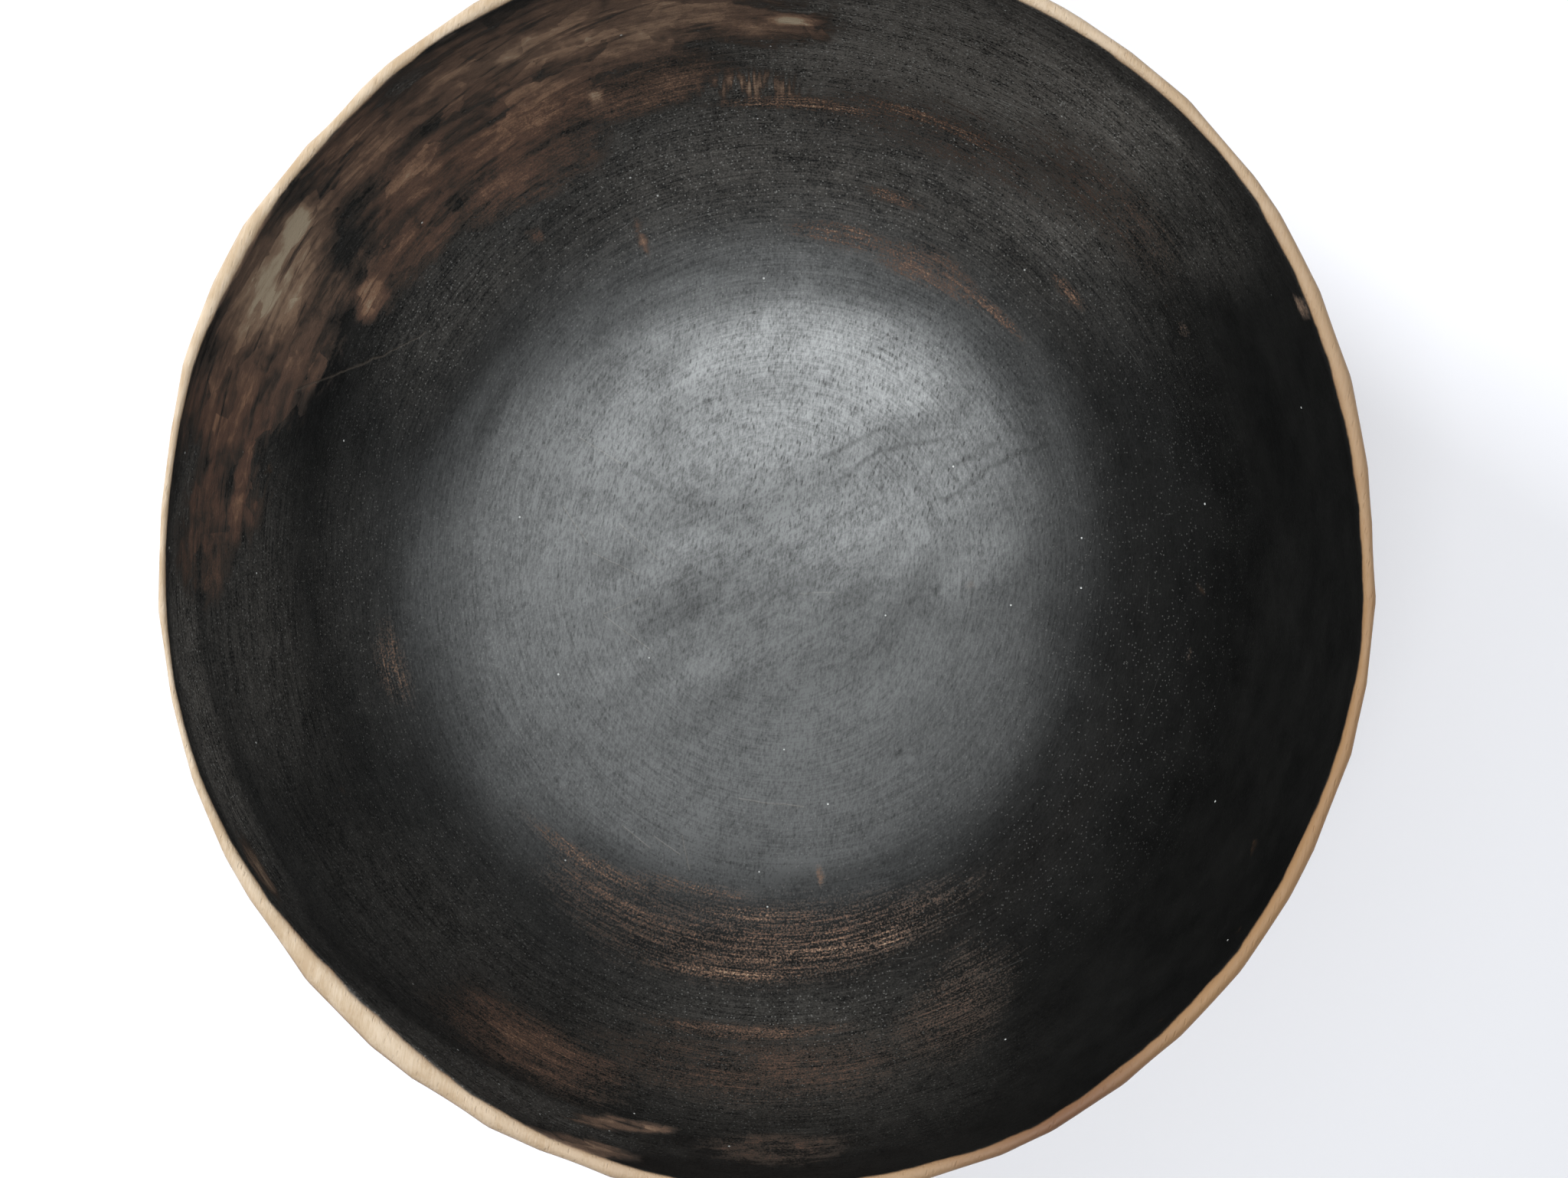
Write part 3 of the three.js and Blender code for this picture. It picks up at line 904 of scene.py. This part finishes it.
# How thin the black is: the wear, less in lines that kept their black, broken up by coarse strokes or fine
# lines, which count most where there is wear, and the ticks of the chattering scraper.
def thinness(pattern, marks, onWall):
    worn, fine = marks["worn"], marks["fine"]
    coarse, lines, both = (addedUp(pattern, finish[name]) for name in ("coarseBy", "fineBy", "brokenBy"))
    torn = 0.12 * onWall + worn.step(0.02, 0.4) * 0.8
    keptLines = 0.65 * pattern["gap"] * (1 - fine)
    chatter = marks["chatter"] * (pattern["ticks"] * 1.2 + 0.4)
    return worn * (1.1 - keptLines) + (fine.between(coarse, lines) + both) * torn + chatter


# From the black through dust, partly painted light, and pale dots, partly painted glints, to the brown,
# golden and straw wood under it, then scuffs, lint.
def finishColour(pattern, marks, thin, onWall):
    fromLip, golden = marks["fromLip"], marks["golden"]
    atFoot = fromLip.step(*finish["footStart"]) * fromLip.step(*finish["footEnd"])
    # dust, partly painted light: bounce off the lip's edge and sheen on the black
    dustAndLightAmount = marks["dustAndLight"] * (0.7 + addedUp(pattern, finish["dustAndLightBy"]))
    # pale dots, partly painted glints: most in the dust and at the foot of the walls
    stippleAndGlints = (marks["dustAndLight"] + atFoot * 0.25) * addedUp(pattern, finish["stippleAndGlintsBy"])
    brown = golden.colour(finish["russet"], finish["golden"])
    pale = golden.colour(finish["copper"], finish["tan"])
    colour = (addedUp(pattern, finish["sootBy"]) + 0.4).colour(finish["black"], finish["soot"])
    colour = (dustAndLightAmount * 0.5).clamped().colour(colour, finish["dustAndLightGrey"])
    colour = (stippleAndGlints * 0.7).clamped().colour(colour, finish["stippleAndGlints"])
    colour = thin.step(*finish["umberAt"]).colour(colour, finish["umber"])
    colour = thin.step(*finish["russetAt"]).colour(colour, brown)
    colour = thin.step(*finish["copperAt"]).colour(colour, pale)
    colour = thin.step(*finish["strawAt"]).colour(colour, finish["straw"])
    colour = (pattern["scratch"] * onWall.between(0.35, 0.6)).colour(colour, finish["scuff"])
    return pattern["speck"].colour(colour, finish["speck"])


# Gloss of the finish, smoothed by rubbing: most on the floor, with painted highlights and painted shade at
# the listed spots, streaked along the grain, round the bowl and across the floor, with a painted highlight
# beside each dent, and less in vessels, in dents and grooves as painted shade, and in wear.
def finishGloss(pattern, marks, dull, onWall, marked):
    fromLip, openGrained = marks["fromLip"], marks["open"]
    ringed = fromLip.step(*finish["ringSpan"])
    alongGrain = pattern["grain"] * (0.28 + 0.08 * openGrained)
    roundBowl = 0.2 * pattern["hair"] * (marked + ringed * 0.7)
    overFloor = addedUp(pattern, finish["floorSheenBy"]) * (1 - onWall)
    uneven = addedUp(pattern, finish["sheenBy"]) + 1.4 * (alongGrain + roundBowl + overFloor)
    # painted highlights and painted shade of the listed spots
    sheen = (finish["sheen"] + 0.3 * marks["paintedSheen"]) * (1 + uneven)
    # painted highlight beside each dent and painted shade in it
    sheen = sheen + 0.4 * pattern["dentPaintedHighlight"] - 0.3 * pattern["dent"]
    pore = 1 - pattern["vessel"] * (0.3 + 0.5 * openGrained)
    # grooves lower the gloss: painted shade in them
    lines = (1 + 0.15 * pattern["scratch"]) * (1 - 0.42 * pattern["groove"])
    level = fromLip.step(*finish["glossSpan"]).between(0.4, 1)
    return (sheen * (1 - 0.8 * dull) * pore * lines * level).clamped()


# The hollow: a black satin stain on scraped wood, thin where tools and hands have worn it.
def blackFinish(block, signals, marks, form):
    fromLip = marks["fromLip"]
    pattern = {**signals, **finishPatterns(block, fromLip)}
    pattern.update(singleMarks(block, pattern, form))
    onWall = fromLip.step(*finish["wallSpan"])
    marked = onWall * (0.35 + marks["dustAndLight"])  # where tool marks show most
    thin = thinness(pattern, marks, onWall)
    dull = thin.step(*finish["dullAt"])
    relief = addedUp(pattern, finish["reliefBy"]) + addedUp(pattern, finish["wallReliefBy"]) * marked
    return {
        "colour": finishColour(pattern, marks, thin, onWall),
        "rough": finish["roughness"] + addedUp(pattern, finish["roughBy"]) + 0.15 * dull,
        "coat": finishGloss(pattern, marks, dull, onWall, marked),
        "height": relief - addedUp(pattern, finish["depthBy"]),
    }


bare = {
    "pale": (0.6, 0.47, 0.345),
    "straw": (0.46, 0.33, 0.213),
    "brownShadedLip": (0.29, 0.165, 0.079),
    "brownShadeWay": (0.85, -0.5, 0),  # the lip is browner this way, partly its own colour and partly painted shade on the side away from the key lamp, over the span below
    "brownShadeFrom": -20.0,
    "brownShadeTo": 150.0,
    "stain": (0.17, 0.082, 0.043),
    "stainPlace": (78.0, -146.0, 147.0),
    "stainReach": 48.0,
    "brown": (0.22, 0.115, 0.055),
    "flatEdgeTone": (0.3, 0.175, 0.095),  # lighter, along the edges between the flats
    "deep": (0.13, 0.06, 0.028),
    "patchCells": (20, 33, 20),
    "speckleCells": (5, 8, 5),
    "streakCells": (1.6, 60, 1.6),
    "lateWood": (0.6, 1.0),  # dark part of a growth ring
    # shares of the patterns in the lip's colour, in the edge of its brown and painted shade in millimetres,
    # and in the side's colour
    "lipBy": {"fibre": 0.35, "patch": 0.35, "speckle": 0.45},
    "brownShadeBy": {"patch": 12, "speckle": 16},
    "sideBy": {"streak": 0.45, "fibre": 0.12, "patch": 0.25, "late": -0.22},
    "lipSpan": (-0.5, 0.5),  # from straw to pale
    "sideSpan": (-0.75, 0.6),  # from deep to brown
    "edgeSpan": (0.6, 0.1),  # depth of a cut, as a share, towards the edge of its flat
    "edgeShare": 0.3,
    "sideFrom": (1.4, 3.6),  # way down from the lip where the side's colour begins
    "roughness": 0.52,
}


# The rim and the outside: bare wood, palest on the knife-cut lip, browner and with painted shade towards one
# side of the lip, and browner down the side.
def bareWood(block, signals, marks):
    patch = block.cells(bare["patchCells"]).noise(3)
    pattern = {
        **signals,
        "patch": patch,
        "speckle": block.cells(bare["speckleCells"]).noise(3, 0.6),
        "streak": block.cells(bare["streakCells"], wood["lean"]).noise(2, 0.5),
        "late": signals["ring"].step(*bare["lateWood"]) * (0.6 + patch * 0.5),
    }
    lip = addedUp(pattern, bare["lipBy"]).step(*bare["lipSpan"]).colour(bare["straw"], bare["pale"])
    # browner wood and painted shade: the lip darkens towards +X and -Y, away from the key lamp
    way = block.vector("DOT_PRODUCT", block, bare["brownShadeWay"], "Value") + addedUp(pattern, bare["brownShadeBy"])
    tint = ((way - bare["brownShadeFrom"]) / (bare["brownShadeTo"] - bare["brownShadeFrom"])).clamped()
    lip = tint.colour(lip, bare["brownShadedLip"])
    stain = block.vector("DISTANCE", block, bare["stainPlace"], "Value").step(bare["stainReach"], 0)
    lip = stain.colour(lip, bare["stain"])
    side = addedUp(pattern, bare["sideBy"]).step(*bare["sideSpan"]).colour(bare["deep"], bare["brown"])
    edge = marks["hewn"].step(*bare["edgeSpan"]) * bare["edgeShare"]
    side = edge.colour(side, bare["flatEdgeTone"])
    return {
        "colour": marks["fromLip"].step(*bare["sideFrom"]).colour(lip, side),
        "rough": bare["roughness"] + 0.05 * pattern["fibre"] + 0.1 * pattern["vessel"],
        "height": pattern["fibre"] * 0.03 - pattern["vessel"] * 0.12,
    }


# Edge of the stain along the lip: the cells and the size of its waver, and how far across the lip it lies
stainEdge = {"cells": (12, 12, 12), "waver": 0.09, "span": (0.8, 0.92)}


# One shader for the whole bowl, stained or bare by how far across the lip a place lies.
def bowlMaterial(form):
    material = bpy.data.materials.new("carvedWood")
    material.use_nodes = True
    tree = material.node_tree
    tree.nodes.clear()
    start = Signal(tree)
    place = start.node("ShaderNodeTexCoord", {}, {}, "Object")
    block = start.vector("DIVIDE", place, (mm, mm, mm))
    marks = {name: attribute(start, name) for name in markNames}
    signals = woodSignals(block)
    black = blackFinish(block, signals, marks, form)
    wooden = bareWood(block, signals, marks)
    ragged = block.cells(stainEdge["cells"]).noise(3) * stainEdge["waver"]
    stained = (marks["across"] + ragged).step(*stainEdge["span"])
    shader = start.node("ShaderNodeBsdfPrincipled", {}, {
        "Base Color": stained.colour(wooden["colour"], black["colour"]),
        "Roughness": stained.between(wooden["rough"], black["rough"]),
        "Coat Weight": stained * black["coat"],
        "Normal": stained.between(wooden["height"], black["height"]).bump(),
        "Specular IOR Level": finish["ownGloss"],
        "Coat Roughness": finish["coatRoughness"],
        "Coat IOR": finish["coatIor"],
    })
    start.node("ShaderNodeOutputMaterial", {}, {"Surface": shader})
    return material


carvedBowl.data.materials.append(bowlMaterial(bowlForm))
print("bowl finished,", len(carvedBowl.data.materials[0].node_tree.nodes), "nodes")


# Floor and light

studio = {
    "floorSize": 6000.0,
    "floorColour": (0.79, 0.775, 0.815),
    "floorRoughness": 0.9,
    "floorGlow": 0.2,  # what the floor adds to itself for the camera, which makes it white
    "world": 0.06,
    "lampColour": (0.94, 0.985, 1.0),
    "lamps": {
        # name: place, aim, size across, size along, power in watts, and whether it shows in gloss
        "overheadCore": ((-150, -400, 1700), (-150, -400, 0), 800, 400, 11.3, True),
        "overheadRight": ((900, -150, 1700), (900, -150, 0), 1300, 900, 7.4, True),
        "overheadFar": ((250, 700, 1700), (250, 700, 0), 2600, 800, 8.9, True),
        "overheadNear": ((-50, -1350, 1700), (-50, -1350, 0), 3200, 700, 3.3, True),
        "overheadLeft": ((-1100, -400, 1700), (-1100, -400, 0), 1100, 400, 2.1, True),
        "sideRight": ((2100, 100, 1350), (0, 0, 50), 700, 900, 3.4, True),
        "sideFar": ((1700, 1200, 1350), (0, 0, 50), 700, 900, 2.2, True),
        "keyLeft": ((-1380, 860, 1050), (0, 0, 100), 600, 600, 36, False),
    },
}


# A plain floor; the camera, and what it sees in gloss or through glass, gets a little more light from it.
def makeFloor():
    half = studio["floorSize"] / 2 * mm
    corners = [(-half, -half, 0), (half, -half, 0), (half, half, 0), (-half, half, 0)]
    mesh = bpy.data.meshes.new("studioFloor")
    mesh.from_pydata(corners, [], [(0, 1, 2, 3)])
    floor = bpy.data.objects.new("studioFloor", mesh)
    scene.collection.objects.link(floor)
    material = bpy.data.materials.new("studioFloor")
    material.use_nodes = True
    material.node_tree.nodes.clear()
    start = Signal(material.node_tree)
    rays = [start.node("ShaderNodeLightPath", {}, {}, ray)
            for ray in ("Is Camera Ray", "Is Glossy Ray", "Is Transmission Ray")]
    seen = sum(rays[1:], rays[0]).step(0, 1)
    shader = start.node("ShaderNodeBsdfPrincipled", {}, {
        "Base Color": (*studio["floorColour"], 1),
        "Roughness": studio["floorRoughness"],
        "Emission Color": seen.colour((0, 0, 0), (1, 1, 1)),
        "Emission Strength": studio["floorGlow"],
    })
    start.node("ShaderNodeOutputMaterial", {}, {"Surface": shader})
    mesh.materials.append(material)


def makeLamps():
    for name, (place, aim, width, depth, power, inGloss) in studio["lamps"].items():
        data = bpy.data.lights.new(name, "AREA")
        data.shape = "RECTANGLE"
        data.size = width * mm
        data.size_y = depth * mm
        data.energy = power
        data.color = studio["lampColour"]
        lamp = bpy.data.objects.new(name, data)
        lamp.location = [v * mm for v in place]
        lamp.rotation_mode = "QUATERNION"
        lamp.rotation_quaternion = (Vector(aim) - Vector(place)).to_track_quat("-Z", "Y")
        lamp.visible_glossy = inGloss
        scene.collection.objects.link(lamp)
    world = bpy.data.worlds.new("studioWorld")
    world.use_nodes = True
    sky = world.node_tree.nodes["Background"].inputs
    sky["Color"].default_value = (1, 1, 1, 1)
    sky["Strength"].default_value = studio["world"]
    scene.world = world


makeFloor()
makeLamps()
print("floor and lamps set")
